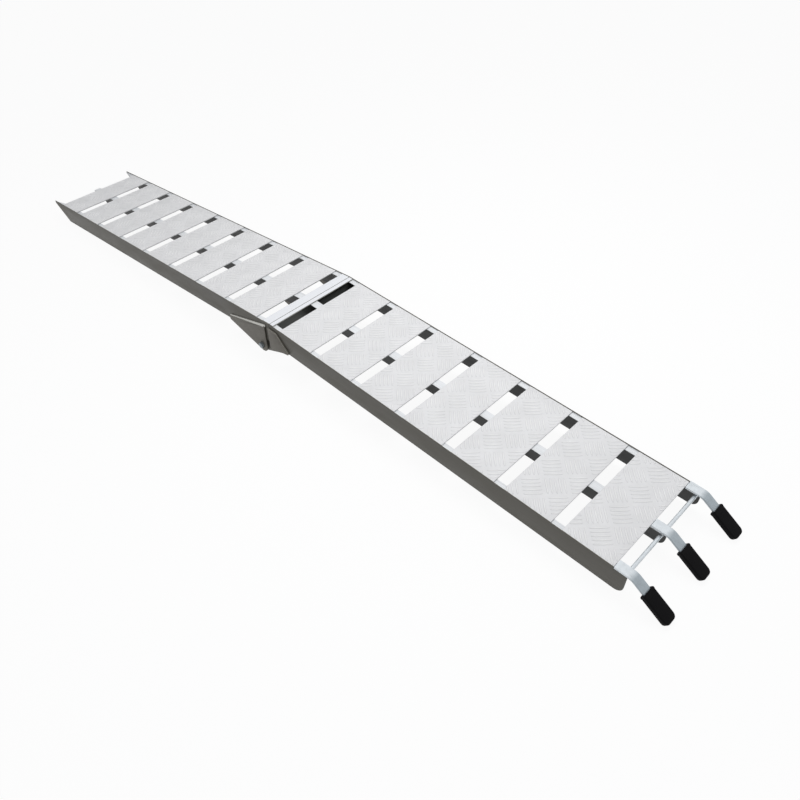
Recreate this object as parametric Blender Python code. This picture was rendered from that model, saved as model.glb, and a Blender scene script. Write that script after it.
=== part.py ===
"""Folding aluminium loading ramp: two decked sections, hinged below their rails, with rubber-tipped fingers.

Metres, +Z up, +X up the ramp towards the fingers, origin on the floor below the middle of the whole ramp.
Each section is drawn flat in its own frame, with z = 0 at the top of the treads and x = 0 at the seam where
the two sections butt. Side outlines run away from the seam, and flip turns them to the section's own way.
"""

import math

import bmesh
import bpy
from mathutils import Matrix, Vector

# Overall
RAMP_WIDTH = 0.275  # over the outer faces of the side rails
ARCH_ANGLE = math.radians(6.35)  # how far the open ramp is cranked at the seam
CLEARANCE = 0.0003  # left between pieces that are welded, seated or bolted together
RUNNING_CLEARANCE = 0.00015  # round a bolt or rod in its hole

# Rails
RAIL_DEPTH = 0.057
RAIL_WALL = 0.0025
SIDE_FLANGE = 0.0156  # width of a side rail's top flange, its wall included
CENTRE_FLANGE = 0.0214
CENTRE_WEB = 0.004
SEAM_GAP = 0.0006  # between the butting ends, measured at the deck
SEAM_RELIEF = 0.004  # how far each butting end is cut back at its bottom

# Treads
TREAD_THICKNESS = 0.003
TREAD_PITCH = 0.140
TREAD_GAP = 0.026
UPPER_TREADS = 7
LOWER_TREADS = 8
ENTRY_TREAD_LENGTH = 0.097  # the shorter tread at the ground
LOWER_BEAM_WIDTH = 0.0286  # cross-beam of each section at the seam
UPPER_BEAM_WIDTH = 0.013
BEAM_DEPTH = 0.045
BEAM_SETBACK = 0.004  # of the cross-beam's upright wall from the seam

# Ground end
TIP_OVERHANG = 0.054  # of the side rails past the entry tread
CENTRE_OVERHANG = 0.018  # of the centre rail, which is cut off square
TIP_SLOPE = math.radians(36.0)  # of the rails' slanted ends
TIP_NOSE = 0.008  # height left at a side rail's very tip
TIP_LAND = 0.001  # width that a flange still has at the very tip

# Finger end
RAIL_OVERHANG = 0.030  # of the rails past the last tread
RAIL_CORNER = 0.018  # radius of the rail's lower end corner
STRAP_WIDTH = 0.022
STRAP_THICKNESS = 0.005
STRAP_BEND = math.radians(32.0)
STRAP_BEND_RADIUS = 0.025  # inside the bend
STRAP_BARE_LENGTH = 0.026  # straight stretch seen between the bend and the cap
STRAP_GRIP = 0.058  # length inside the cap
STRAP_SETBACK = 0.0015  # between the last tread and the strap
CAP_LENGTH = 0.068
CAP_WIDTH = 0.032
CAP_THICKNESS = 0.012
CAP_CORNER = 0.010
ROD_RADIUS = 0.004
ROD_SETBACK = 0.0065  # of the rod's centre from the rails' ends
ROD_DROP = 0.013  # of the rod's centre below the deck

# Hinge
PIVOT_SETBACK = 0.046  # of the pivot behind the seam, in the lower section's frame
PIVOT_DROP = 0.080  # of the pivot below the deck
PLATE_THICKNESS = 0.004
PIVOT_EYE_RADIUS = 0.019
LOWER_PLATE_LENGTH = 0.178
LOWER_PLATE_SETBACK = 0.0155  # of the lower plate's top corner from the seam
LOWER_PLATE_LAP = 0.013  # how far its long end laps the rail
PLATE_TOP_DROP = 0.011  # of the plates' top corners below the deck
HEEL_LENGTH = 0.070
HEEL_DEPTH = 0.074
HEEL_TOP_LENGTH = 0.030
HEEL_LAP = 0.008  # how far the heel plate's long end laps the rail
HEEL_REACH = 0.002  # of the heel plate over the lower rail's end
TONGUE_LENGTH = 0.080
TONGUE_LAP = 0.035  # on the rail's inner face
TONGUE_STEP = 0.012  # of the tongue's root from the seam
BOLT_RADIUS = 0.005
HEX_RADIUS = 0.0085  # across the corners, halved
BOLT_HEAD_HEIGHT = 0.0065
NUT_HEIGHT = 0.008
BOLT_TAIL = 0.003  # of the bolt past its nut
SPACER_RADIUS = 0.011

ROUND_SIDES = 24
HEX_SIDES = 6
ARC_STEPS = 6

STANDING = Matrix.Rotation(math.pi / 2, 4, "X")  # a flat outline stood up in X and Z
ALONG = Matrix(((0, 0, 1, 0), (1, 0, 0, 0), (0, 1, 0, 0), (0, 0, 0, 1)))  # a profile in Y and Z, run along X
FLAT = Matrix.Identity(4)

# Worked out from the sizes above
FLANGE_TOP = -(TREAD_THICKNESS + CLEARANCE)
FLANGE_BOTTOM = FLANGE_TOP - RAIL_WALL
LIP_CUT = FLANGE_TOP + CLEARANCE / 3  # what is left of the lip under a finger
STOCK_MARGIN = RAIL_WALL  # left on a rail's profile where its side outline trims it
UPPER_DECK_END = UPPER_BEAM_WIDTH + UPPER_TREADS * TREAD_PITCH
LOWER_DECK_END = LOWER_BEAM_WIDTH + (LOWER_TREADS - 1) * TREAD_PITCH + TREAD_GAP + ENTRY_TREAD_LENGTH
UPPER_RAIL_END = UPPER_DECK_END + RAIL_OVERHANG
LOWER_RAIL_END = LOWER_DECK_END + TIP_OVERHANG
LOWER_CENTRE_END = LOWER_DECK_END + CENTRE_OVERHANG
TIP_RUN = (RAIL_DEPTH - TIP_NOSE) / math.tan(TIP_SLOPE)
MITRE = math.tan(ARCH_ANGLE / 2)
HALF_WIDTH = RAMP_WIDTH / 2
CENTRE_FACE = CENTRE_FLANGE / 2 - CENTRE_WEB  # the centre web's right face, across the ramp
LOWER_FOOT = (-(LOWER_RAIL_END - TIP_RUN), -RAIL_DEPTH)  # where the lower rails meet the floor

ALUMINIUM = ((0.80, 0.81, 0.82), 0.38, 1.0)
PLATE_METAL = ((0.55, 0.55, 0.53), 0.45, 1.0)
STEEL = ((0.70, 0.74, 0.77), 0.32, 1.0)
RUBBER = ((0.012, 0.012, 0.014), 0.75, 0.0)


class Section:
    """One half of the ramp: its empty, the way it runs from the seam, and its empty's place in its frame."""

    def __init__(self, prefix, sign, carrier, offset):
        self.prefix = prefix
        self.sign = sign
        self.carrier = carrier
        self.offset = Vector(offset)

    def spot(self, x, y, z):
        return Vector((x, y, z)) - self.offset


def clear_scene():
    for thing in list(bpy.data.objects):
        bpy.data.objects.remove(thing, do_unlink=True)


def collection(name):
    made = bpy.data.collections.new(name)
    bpy.context.scene.collection.children.link(made)
    return made


def material(name, finish):
    colour, roughness, metallic = finish
    made = bpy.data.materials.new(name)
    made.use_nodes = True
    shader = made.node_tree.nodes["Principled BSDF"]
    shader.inputs["Base Color"].default_value = (*colour, 1.0)
    shader.inputs["Roughness"].default_value = roughness
    shader.inputs["Metallic"].default_value = metallic
    return made


def place(name, mesh, section, centre, finish):
    """A piece made from a mesh, hung from its section."""
    piece = bpy.data.objects.new(name, mesh)
    mesh.name = name
    mesh.materials.clear()
    mesh.materials.append(material(name, finish))
    PARTS.objects.link(piece)
    piece.parent = section.carrier
    piece.location = section.spot(*centre)
    return piece


def cutter(name, mesh, section, centre):
    tool = bpy.data.objects.new(name, mesh)
    CUTTERS.objects.link(tool)
    tool.parent = section.carrier
    tool.location = section.spot(*centre)
    tool.hide_render = True
    tool.display_type = "WIRE"
    return tool


def combine(piece, other, operation):
    step = piece.modifiers.new(other.name, "BOOLEAN")
    step.operation = operation
    step.solver = "EXACT"
    step.object = other


def smooth(piece):
    piece.data.shade_smooth()
    piece.data.set_sharp_from_angle(angle=math.radians(30))


def box_mesh(size):
    mesh = bpy.data.meshes.new("box")
    shape = bmesh.new()
    bmesh.ops.create_cube(shape, size=1.0)
    bmesh.ops.scale(shape, vec=size, verts=shape.verts)
    shape.to_mesh(mesh)
    shape.free()
    return mesh


def round_mesh(radius, length, sides=ROUND_SIDES):
    """A cylinder, or a prism with few sides, lying along Y."""
    mesh = bpy.data.meshes.new("round")
    shape = bmesh.new()
    bmesh.ops.create_cone(
        shape, cap_ends=True, segments=sides, radius1=radius, radius2=radius, depth=length, matrix=STANDING
    )
    shape.to_mesh(mesh)
    shape.free()
    return mesh


def plate_mesh(loops, thickness, turn=STANDING):
    """A flat outline, with any further loops as holes, given its thickness and turned."""
    drawn = bpy.data.curves.new("outline", "CURVE")
    drawn.dimensions = "2D"
    drawn.fill_mode = "BOTH"
    drawn.extrude = thickness / 2
    for loop in loops:
        line = drawn.splines.new("POLY")
        line.points.add(len(loop) - 1)
        for point, (across, up) in zip(line.points, loop):
            point.co = (across, up, 0.0, 1.0)
        line.use_cyclic_u = True
    holder = bpy.data.objects.new("outline", drawn)
    CUTTERS.objects.link(holder)
    bpy.context.view_layer.update()
    mesh = bpy.data.meshes.new_from_object(holder.evaluated_get(bpy.context.evaluated_depsgraph_get()))
    bpy.data.objects.remove(holder)
    shape = bmesh.new()
    shape.from_mesh(mesh)
    bmesh.ops.remove_doubles(shape, verts=shape.verts, dist=0.00001)
    bmesh.ops.transform(shape, matrix=turn, verts=shape.verts)
    bmesh.ops.recalc_face_normals(shape, faces=shape.faces)
    shape.to_mesh(mesh)
    shape.free()
    return mesh


def arc(centre, radius, start, end, steps=ARC_STEPS):
    """Points on an arc, its angles in radians."""
    turns = [start + (end - start) * i / steps for i in range(steps + 1)]
    return [(centre[0] + radius * math.cos(a), centre[1] + radius * math.sin(a)) for a in turns]


def circle(centre, radius):
    return arc(centre, radius, 0, 2 * math.pi, ROUND_SIDES)[:-1]


def flip(points, sign):
    return [(sign * x, z) for x, z in points]


def touch_angle(point, centre, radius, side):
    """Where on a circle the line from an outside point touches it: anticlockwise of the point for side 1."""
    across, up = point[0] - centre[0], point[1] - centre[1]
    return math.atan2(up, across) + side * math.acos(radius / math.hypot(across, up))


def eye_outline(pivot, high, low, rest):
    """A plate from two corners down to a round eye on the pivot, closed through the rest of its points."""
    start = touch_angle(high, pivot, PIVOT_EYE_RADIUS, 1)
    end = touch_angle(low, pivot, PIVOT_EYE_RADIUS, -1) + 2 * math.pi
    return [high, *arc(pivot, PIVOT_EYE_RADIUS, start, end, 2 * ARC_STEPS), low, *rest]


def side_section(inward):
    """A side rail in Y and Z from its outer face at y = 0: wall, top flange and the lip beside the treads."""
    low = -RAIL_DEPTH - STOCK_MARGIN
    points = [
        (0, low), (RAIL_WALL, low), (RAIL_WALL, FLANGE_BOTTOM), (SIDE_FLANGE, FLANGE_BOTTOM),
        (SIDE_FLANGE, FLANGE_TOP), (RAIL_WALL, FLANGE_TOP), (RAIL_WALL, STOCK_MARGIN), (0, STOCK_MARGIN),
    ]
    return flip(points, inward)


def centre_section():
    """The centre rail in Y and Z: an angle under the treads, its web along the flange's left edge."""
    edge = CENTRE_FLANGE / 2
    low = -RAIL_DEPTH - STOCK_MARGIN
    return [
        (CENTRE_FACE, low), (edge, low), (edge, FLANGE_TOP),
        (-edge, FLANGE_TOP), (-edge, FLANGE_BOTTOM), (CENTRE_FACE, FLANGE_BOTTOM),
    ]


def seam_line():
    """The butting end of a rail, top then bottom: on the mitre, and cut back further below."""
    top = SEAM_GAP / 2
    return (top, 0), (top + MITRE * RAIL_DEPTH + SEAM_RELIEF, -RAIL_DEPTH)


def lower_side(end):
    """A lower rail seen from the side: slanted up from the ground, and cut off upright at its end."""
    foot = -LOWER_FOOT[0]
    nose = (end - foot) * math.tan(TIP_SLOPE) - RAIL_DEPTH
    return [*seam_line(), (foot, -RAIL_DEPTH), (end, nose), (end, 0)]


def upper_side():
    """An upper rail seen from the side: a rounded lower corner, and no lip where the finger lies."""
    corner = arc((UPPER_RAIL_END - RAIL_CORNER, RAIL_CORNER - RAIL_DEPTH), RAIL_CORNER, -math.pi / 2, 0)
    step = UPPER_DECK_END + STRAP_SETBACK / 2
    return [*seam_line(), *corner, (UPPER_RAIL_END, LIP_CUT), (step, LIP_CUT), (step, 0)]


def rail(word, section, y, profile, side, holes):
    """A rail: its profile carried along the ramp and kept where it lies inside its side outline."""
    length = max(x for x, _ in side)
    name = f"{section.prefix}_{word}"
    piece = place(name, plate_mesh([profile], 1.1 * length, ALONG), section,
                  (section.sign * length / 2, y, 0), ALUMINIUM)
    loops = [flip(side, section.sign), *holes]
    trim = cutter(f"{name}_outline", plate_mesh(loops, 4 * CENTRE_FLANGE), section, (0, y, 0))
    combine(piece, trim, "INTERSECT")
    return piece


def rails(section, side, centre_side, holes=()):
    """The right, centre and left rails of a section."""
    return (
        rail("side_rail_right", section, -HALF_WIDTH, side_section(1), side, holes),
        rail("centre_rail", section, 0, centre_section(), centre_side, holes),
        rail("side_rail_left", section, HALF_WIDTH, side_section(-1), side, holes),
    )


def narrow_tip(piece, section, edge, wall):
    """Cuts a rail's flange off aslant, from its full width at the entry tread to a thin land at the tip.

    edge is the flange's free edge and wall the face that it stands on, both across the ramp.
    """
    inward = math.copysign(1, edge - wall)
    land = wall + inward * TIP_LAND
    clear = edge + inward * STOCK_MARGIN
    past = LOWER_RAIL_END + STOCK_MARGIN
    start = LOWER_DECK_END
    loop = [(start, edge), (LOWER_RAIL_END, land), (past, land), (past, clear), (start, clear)]
    tool = cutter(f"{piece.name}_tip", plate_mesh([flip(loop, section.sign)], 4 * RAIL_WALL, FLAT), section,
                  (0, 0, (FLANGE_TOP + FLANGE_BOTTOM) / 2))
    combine(piece, tool, "DIFFERENCE")


def deck_strip(name, section, start, length):
    """A flat plate across the ramp, between the side rails' lips."""
    size = (length, RAMP_WIDTH - 2 * (RAIL_WALL + CLEARANCE), TREAD_THICKNESS)
    centre = (section.sign * (start + length / 2), 0, -TREAD_THICKNESS / 2)
    return place(name, box_mesh(size), section, centre, ALUMINIUM)


def treads(section, count, first, last_length):
    """Treads with a gap before each, numbered up the ramp within their section."""
    for i in range(count):
        number = i + 1 if section.sign > 0 else count - i
        length = last_length if i == count - 1 else TREAD_PITCH - TREAD_GAP
        deck_strip(f"{section.prefix}_tread_{number}", section, first + i * TREAD_PITCH + TREAD_GAP, length)


def cross_beam(section, width):
    """The beam at the seam: a deck strip with an upright wall under it in each bay."""
    name = f"{section.prefix}_cross_beam"
    start = SEAM_GAP / 2
    strip = deck_strip(name, section, start, width - start)
    inner = CENTRE_FLANGE / 2 + CLEARANCE
    outer = HALF_WIDTH - SIDE_FLANGE - CLEARANCE
    x = start + MITRE * BEAM_DEPTH + BEAM_SETBACK + RAIL_WALL / 2
    height = BEAM_DEPTH - TREAD_THICKNESS / 2
    z = -(BEAM_DEPTH + TREAD_THICKNESS / 2) / 2
    for hand, word in ((-1, "right"), (1, "left")):
        centre = (section.sign * x, hand * (outer + inner) / 2, z)
        wall = cutter(f"{name}_wall_{word}", box_mesh((RAIL_WALL, outer - inner, height)), section, centre)
        combine(strip, wall, "UNION")


def lower_plate_outline():
    """The long hinge plate: a low triangle lapping the rail's outer face, down to the pivot's eye."""
    top = (LOWER_PLATE_SETBACK, -PLATE_TOP_DROP)
    corner = (LOWER_PLATE_LENGTH, -RAIL_DEPTH)
    lap = (LOWER_PLATE_LENGTH, LOWER_PLATE_LAP - RAIL_DEPTH)
    return eye_outline((PIVOT_SETBACK, -PIVOT_DROP), top, corner, [lap])


def tongue_outline():
    """The inner hinge plate: from its lap on the upper rail's inner face back to the pivot's eye."""
    root = (TONGUE_STEP, TONGUE_LAP - RAIL_DEPTH)
    corner = (TONGUE_LENGTH, -RAIL_DEPTH)
    lap = (TONGUE_LENGTH, TONGUE_LAP - RAIL_DEPTH)
    return eye_outline(PIVOT_IN_UPPER, root, corner, [lap])


def heel_outline():
    """The upper section's outer plate, which fills the corner below its rail."""
    return [
        (-HEEL_REACH, -PLATE_TOP_DROP), (-HEEL_REACH, -HEEL_DEPTH), (HEEL_LENGTH, -RAIL_DEPTH),
        (HEEL_LENGTH, HEEL_LAP - RAIL_DEPTH), (HEEL_TOP_LENGTH, -PLATE_TOP_DROP),
    ]


def bored(name, mesh, depth, centre):
    """A piece of steel on the pivot with the bolt's hole through it."""
    piece = place(name, mesh, LOWER, centre, STEEL)
    bore = cutter(f"{name}_bore", round_mesh(BOLT_RADIUS + RUNNING_CLEARANCE, 2 * depth), LOWER, centre)
    combine(piece, bore, "DIFFERENCE")
    smooth(piece)


def hinge(word, face, inward, wall, has_heel):
    """One hinge: plates on both faces of a rail's wall, the spacer between them, and the bolt and nut.

    face is the wall's outer face in y, and inward is the sign of the way to its inner face.
    """
    def across(depth):
        return face + inward * depth

    def on_pivot(depth):
        return PIVOT_IN_LOWER[0], across(depth), PIVOT_IN_LOWER[1]

    hole = BOLT_RADIUS + RUNNING_CLEARANCE
    outer = -CLEARANCE - PLATE_THICKNESS / 2
    inner = wall + CLEARANCE + PLATE_THICKNESS / 2
    low = plate_mesh([flip(lower_plate_outline(), -1), circle(PIVOT_IN_LOWER, hole)], PLATE_THICKNESS)
    place(f"lower_hinge_plate_{word}", low, LOWER, (0, across(outer), 0), PLATE_METAL)
    high = plate_mesh([tongue_outline(), circle(PIVOT_IN_UPPER, hole)], PLATE_THICKNESS)
    place(f"upper_hinge_tongue_{word}", high, UPPER, (0, across(inner), 0), PLATE_METAL)
    if has_heel:
        place(f"upper_hinge_heel_{word}", plate_mesh([heel_outline()], PLATE_THICKNESS), UPPER,
              (0, across(outer), 0), PLATE_METAL)
    head_seat = outer - PLATE_THICKNESS / 2 - CLEARANCE
    nut_seat = inner + PLATE_THICKNESS / 2 + CLEARANCE
    bored(f"pivot_spacer_{word}", round_mesh(SPACER_RADIUS, wall), wall, on_pivot(wall / 2))
    nut = round_mesh(HEX_RADIUS, NUT_HEIGHT, HEX_SIDES)
    bored(f"pivot_nut_{word}", nut, NUT_HEIGHT, on_pivot(nut_seat + NUT_HEIGHT / 2))
    start = head_seat - BOLT_HEAD_HEIGHT / 2
    end = nut_seat + NUT_HEIGHT + BOLT_TAIL
    name = f"pivot_bolt_{word}"
    bolt = place(name, round_mesh(BOLT_RADIUS, end - start), LOWER, on_pivot((start + end) / 2), STEEL)
    head = round_mesh(HEX_RADIUS, BOLT_HEAD_HEIGHT, HEX_SIDES)
    combine(bolt, cutter(f"{name}_head", head, LOWER, on_pivot(start)), "UNION")
    smooth(bolt)


def finger_way(along, off):
    """A point on the bent part of a finger: a distance along it past the bend, and one off its mid line."""
    radius = STRAP_BEND_RADIUS + STRAP_THICKNESS / 2 + off
    centre_x = UPPER_RAIL_END + CLEARANCE
    centre_z = FLANGE_TOP + CLEARANCE - STRAP_BEND_RADIUS
    sine, cosine = math.sin(STRAP_BEND), math.cos(STRAP_BEND)
    return centre_x + radius * sine + along * cosine, centre_z + radius * cosine - along * sine


def strap_outline():
    """A finger strap seen from the side: flat on the rail, bent down past its end, then on into the cap."""
    under = FLANGE_TOP + CLEARANCE
    start = UPPER_DECK_END + STRAP_SETBACK
    centre = (UPPER_RAIL_END + CLEARANCE, under - STRAP_BEND_RADIUS)
    upright = math.pi / 2
    top = arc(centre, STRAP_BEND_RADIUS + STRAP_THICKNESS, upright, upright - STRAP_BEND)
    low = arc(centre, STRAP_BEND_RADIUS, upright - STRAP_BEND, upright)
    run = STRAP_BARE_LENGTH + STRAP_GRIP
    half = STRAP_THICKNESS / 2
    tip = (finger_way(run, half), finger_way(run, -half))
    return [(start, under), (start, under + STRAP_THICKNESS), *top, *tip, *low]


def cap_outline():
    """The rubber cap seen from above, from its mouth at x = 0 to its rounded end."""
    half = CAP_WIDTH / 2
    side = half - CAP_CORNER
    far = CAP_LENGTH - CAP_CORNER
    square = math.pi / 2
    corners = [*arc((far, -side), CAP_CORNER, -square, 0), *arc((far, side), CAP_CORNER, 0, square)]
    return [(0, -half), *corners, (0, half)]


def finger(word, y):
    """A strap on the end of a rail and the rubber cap over its tip."""
    bar = plate_mesh([strap_outline()], STRAP_WIDTH)
    smooth(place(f"finger_strap_{word}", bar, UPPER, (0, y, 0), STEEL))
    x, z = finger_way(STRAP_BARE_LENGTH, 0)
    block = plate_mesh([cap_outline()], CAP_THICKNESS, FLAT)
    cap = place(f"finger_cap_{word}", block, UPPER, (x, y, z), RUBBER)
    cap.rotation_euler = (0, STRAP_BEND, 0)
    size = (2 * (STRAP_GRIP + CLEARANCE), STRAP_WIDTH + 2 * CLEARANCE, STRAP_THICKNESS + 2 * CLEARANCE)
    pocket = cutter(f"finger_cap_{word}_pocket", box_mesh(size), UPPER, (x, y, z))
    pocket.rotation_euler = cap.rotation_euler
    combine(cap, pocket, "DIFFERENCE")


def tie_rod():
    x, z = ROD_CENTRE
    smooth(place("tie_rod", round_mesh(ROD_RADIUS, RAMP_WIDTH), UPPER, (x, 0, z), STEEL))


def lower_slope():
    """How far the lower section rises when its rails' feet and the caps' tips stand on the same floor."""
    tip_x, tip_z = finger_way(STRAP_BARE_LENGTH + CAP_LENGTH, -CAP_THICKNESS / 2)
    sine, cosine = math.sin(ARCH_ANGLE), math.cos(ARCH_ANGLE)
    foot_x, foot_z = LOWER_FOOT
    rise = foot_z + tip_x * sine - tip_z * cosine
    reach = -foot_x + tip_x * cosine + tip_z * sine
    return math.atan2(rise, reach)


def turn_down(point, angle):
    """A point in X and Z turned so that +X dips by the angle."""
    x, z = point
    return x * math.cos(angle) + z * math.sin(angle), z * math.cos(angle) - x * math.sin(angle)


def carrier(name, x, z, dip):
    """An empty that carries one section, with its +X dipping by an angle."""
    made = bpy.data.objects.new(name, None)
    PARTS.objects.link(made)
    made.location = (x, 0, z)
    made.rotation_euler = (0, dip, 0)
    return made


clear_scene()
PARTS = collection("aluminium_loading_ramp")
CUTTERS = collection("cutters")

PIVOT_IN_LOWER = (-PIVOT_SETBACK, -PIVOT_DROP)
PIVOT_IN_UPPER = turn_down(PIVOT_IN_LOWER, -ARCH_ANGLE)
ROD_CENTRE = (UPPER_RAIL_END - ROD_SETBACK, -ROD_DROP)
SLOPE = lower_slope()
DIP = ARCH_ANGLE - SLOPE
FIRST_X = turn_down((-LOWER_RAIL_END, 0), -SLOPE)[0]
LAST_X = turn_down(finger_way(STRAP_BARE_LENGTH + CAP_LENGTH, CAP_THICKNESS / 2), DIP)[0]
SEAM_X = -(FIRST_X + LAST_X) / 2
SEAM_Z = -turn_down(LOWER_FOOT, -SLOPE)[1]
PIVOT_FROM_SEAM = turn_down(PIVOT_IN_LOWER, -SLOPE)
PIVOT_X = SEAM_X + PIVOT_FROM_SEAM[0]
PIVOT_Z = SEAM_Z + PIVOT_FROM_SEAM[1]

LOWER = Section("lower", -1, carrier("lower_section", SEAM_X, SEAM_Z, -SLOPE), (0, 0, 0))
UPPER = Section("upper", 1, carrier("upper_section_on_pivot", PIVOT_X, PIVOT_Z, DIP),
                (PIVOT_IN_UPPER[0], 0, PIVOT_IN_UPPER[1]))

rail_right, _, rail_left = rails(LOWER, lower_side(LOWER_RAIL_END), lower_side(LOWER_CENTRE_END))
narrow_tip(rail_right, LOWER, SIDE_FLANGE - HALF_WIDTH, RAIL_WALL - HALF_WIDTH)
narrow_tip(rail_left, LOWER, HALF_WIDTH - SIDE_FLANGE, HALF_WIDTH - RAIL_WALL)
rails(UPPER, upper_side(), upper_side(), [circle(ROD_CENTRE, ROD_RADIUS + RUNNING_CLEARANCE)])
cross_beam(LOWER, LOWER_BEAM_WIDTH)
cross_beam(UPPER, UPPER_BEAM_WIDTH)
treads(LOWER, LOWER_TREADS, LOWER_BEAM_WIDTH, ENTRY_TREAD_LENGTH)
treads(UPPER, UPPER_TREADS, UPPER_BEAM_WIDTH, TREAD_PITCH - TREAD_GAP)
hinge("right", -HALF_WIDTH, 1, RAIL_WALL, True)
hinge("centre", CENTRE_FLANGE / 2, -1, CENTRE_WEB, False)
hinge("left", HALF_WIDTH, -1, RAIL_WALL, True)
finger("right", (STRAP_WIDTH - RAMP_WIDTH) / 2)
finger("centre", 0)
finger("left", (RAMP_WIDTH - STRAP_WIDTH) / 2)
tie_rod()
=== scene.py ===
"""Folding aluminium loading ramp: two decked sections hinged below their rails, with rubber-tipped fingers.

Metres, +Z up, +X up the ramp. Each piece is drawn in its own section's frame: x runs from the seam along
the deck, y across the ramp, and z up from the top of the treads.
"""

import math
from typing import NamedTuple

import bmesh
import bpy
import numpy as np
from mathutils import Euler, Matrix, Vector


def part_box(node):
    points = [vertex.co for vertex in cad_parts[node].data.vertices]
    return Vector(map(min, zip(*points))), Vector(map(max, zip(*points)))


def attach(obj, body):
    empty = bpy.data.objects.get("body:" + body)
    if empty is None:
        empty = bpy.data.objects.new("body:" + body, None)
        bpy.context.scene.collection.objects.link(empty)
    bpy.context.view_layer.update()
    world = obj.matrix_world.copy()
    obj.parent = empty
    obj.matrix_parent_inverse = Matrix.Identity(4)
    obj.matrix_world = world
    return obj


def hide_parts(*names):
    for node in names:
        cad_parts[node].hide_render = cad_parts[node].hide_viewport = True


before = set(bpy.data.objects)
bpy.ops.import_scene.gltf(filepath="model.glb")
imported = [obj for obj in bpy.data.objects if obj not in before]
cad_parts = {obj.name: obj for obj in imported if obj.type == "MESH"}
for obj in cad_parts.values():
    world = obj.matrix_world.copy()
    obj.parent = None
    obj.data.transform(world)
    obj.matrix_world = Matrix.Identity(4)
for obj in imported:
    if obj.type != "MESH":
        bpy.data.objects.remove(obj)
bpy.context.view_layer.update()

# Overall, as the solids have them
HALF_WIDTH = 0.1375
ARCH_ANGLE = math.radians(6.35)
CLEARANCE = 0.0003

# Rails
RAIL_DEPTH = 0.057
RAIL_WALL = 0.0025
SIDE_FLANGE = 0.0156
CENTRE_FLANGE = 0.0214
CENTRE_WEB = 0.004
FLANGE_TOP = -0.0033
FLANGE_BOTTOM = FLANGE_TOP - RAIL_WALL
SEAM_GAP = 0.0006
SEAM_RELIEF = 0.004  # how far each butting end is cut back at its bottom
SEAM_SLANT = math.tan(ARCH_ANGLE / 2) + SEAM_RELIEF / RAIL_DEPTH  # run per drop of a butting end
RAIL_EASE = 0.0007  # radius left on an extrusion's corners
LIP_BAND = 0.0014  # strip of the outer face at its top
CENTRE_BAND = 0.0008  # strip at the top of the centre flange's edge, painted bright like the top, as painted highlight
TIP_OVERHANG = 0.054
TIP_SLOPE = math.radians(36.0)
TIP_NOSE = 0.008
TIP_LAND = 0.001
RAIL_CORNER = 0.018
LIP_LEFT = 0.0001  # height of what is left of a lip beside the fingers
LIP_CUT = FLANGE_TOP + LIP_LEFT
LIP_OVERRUN = 0.00075  # of the side rails' lips past the last tread
LIP_CUT_LENGTH = 0.0003  # run over which a lip drops there

# Where the rings of a rail stand
FIRST_STATION = 0.02
STATION_STEP = 0.05
STATION_MARGIN = 0.01  # least room from the last of these to the lip's end
TIP_RINGS = 8
CORNER_RINGS = 9

# Treads: five-bar plate, measured on the photographed deck
BAR_CELL = 0.048  # side of the square that holds one group of bars
BAR_PITCH = 0.0092
BAR_LENGTH = 0.039
BAR_WIDTH = 0.0044
BAR_HEIGHT = 0.0011
BAR_NARROWING = 0.985  # share of its squared width that a bar loses at its ends
BAR_LOWERING = 0.9  # share of its squared height that a bar loses at its ends
BAR_ROOT = 0.0005  # how deep a bar's foot lies in the plate
BAR_MARGIN = 0.0012  # kept clear of the sheared edges
SHORTEST_BAR = 0.006
PATTERN_REACH = 0.45  # of the pattern along its own axes, before a plate's edges cut it
PHASE_STEP = (0.31, 0.57)  # of a cell, how far the pattern moves from one tread to the next
PLATE_SURFACE = -0.0004  # flat of the plate between its bars
SHEARED_EDGE = 0.0004
# Tone of the plates' sheared rims: painted shade
SHEARED_SHADE_TONE = -0.5
FOOT_SHADE_TONE = -0.45  # painted shade round the feet of the bars

# Cross-beams
BEAM_DEPTH = 0.045
BEAM_SETBACK = 0.004
BEAM_EDGE = 0.0003
TREAD_THICKNESS = 0.003
STRIP_EDGE = 0.0009  # rolled edge of the strips at the seam
# Tone of the strips' rolled rims: painted shade
STRIP_EDGE_SHADE_TONE = 0.1

# Fingers
STRAP_THICKNESS = 0.005
STRAP_BEND = math.radians(32.0)
STRAP_BEND_RADIUS = 0.025
STRAP_BARE_LENGTH = 0.026
STRAP_GRIP = 0.058
STRAP_EDGE = 0.0012
STRAP_SHADE_RUN = 0.012  # stretch past the rails' ends over which the straps are painted from bright to dull, as painted shade on the bend
CAP_LENGTH = 0.068
CAP_WIDTH = 0.032
CAP_THICKNESS = 0.012
CAP_CORNER = 0.010
CAP_EDGE = 0.003
CAP_MIDDLE = (0.012, 0.052)  # the even stretch between the mouth and the rounded end
CAP_RIM = 0.0004  # how far the mouth's rim stands out
CAP_RIM_LENGTH = 0.004
MOUTH_EDGE = 0.0006  # bevel round the mouth
MOUTH_SHRINK = 0.0005  # of the first ring of the rim
POCKET_DEPTH = 0.004
POCKET_WALL = 0.0035  # rubber beside the pocket
POCKET_GAP = 0.0006  # between the pocket and the strap's faces
ROD_RADIUS = 0.004
ROD_SETBACK = 0.0065
ROD_DROP = 0.013
ROD_CHAMFER = 0.0012
ROD_INSET = 0.0008  # of the rod's ends from the side rails' outer faces

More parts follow.
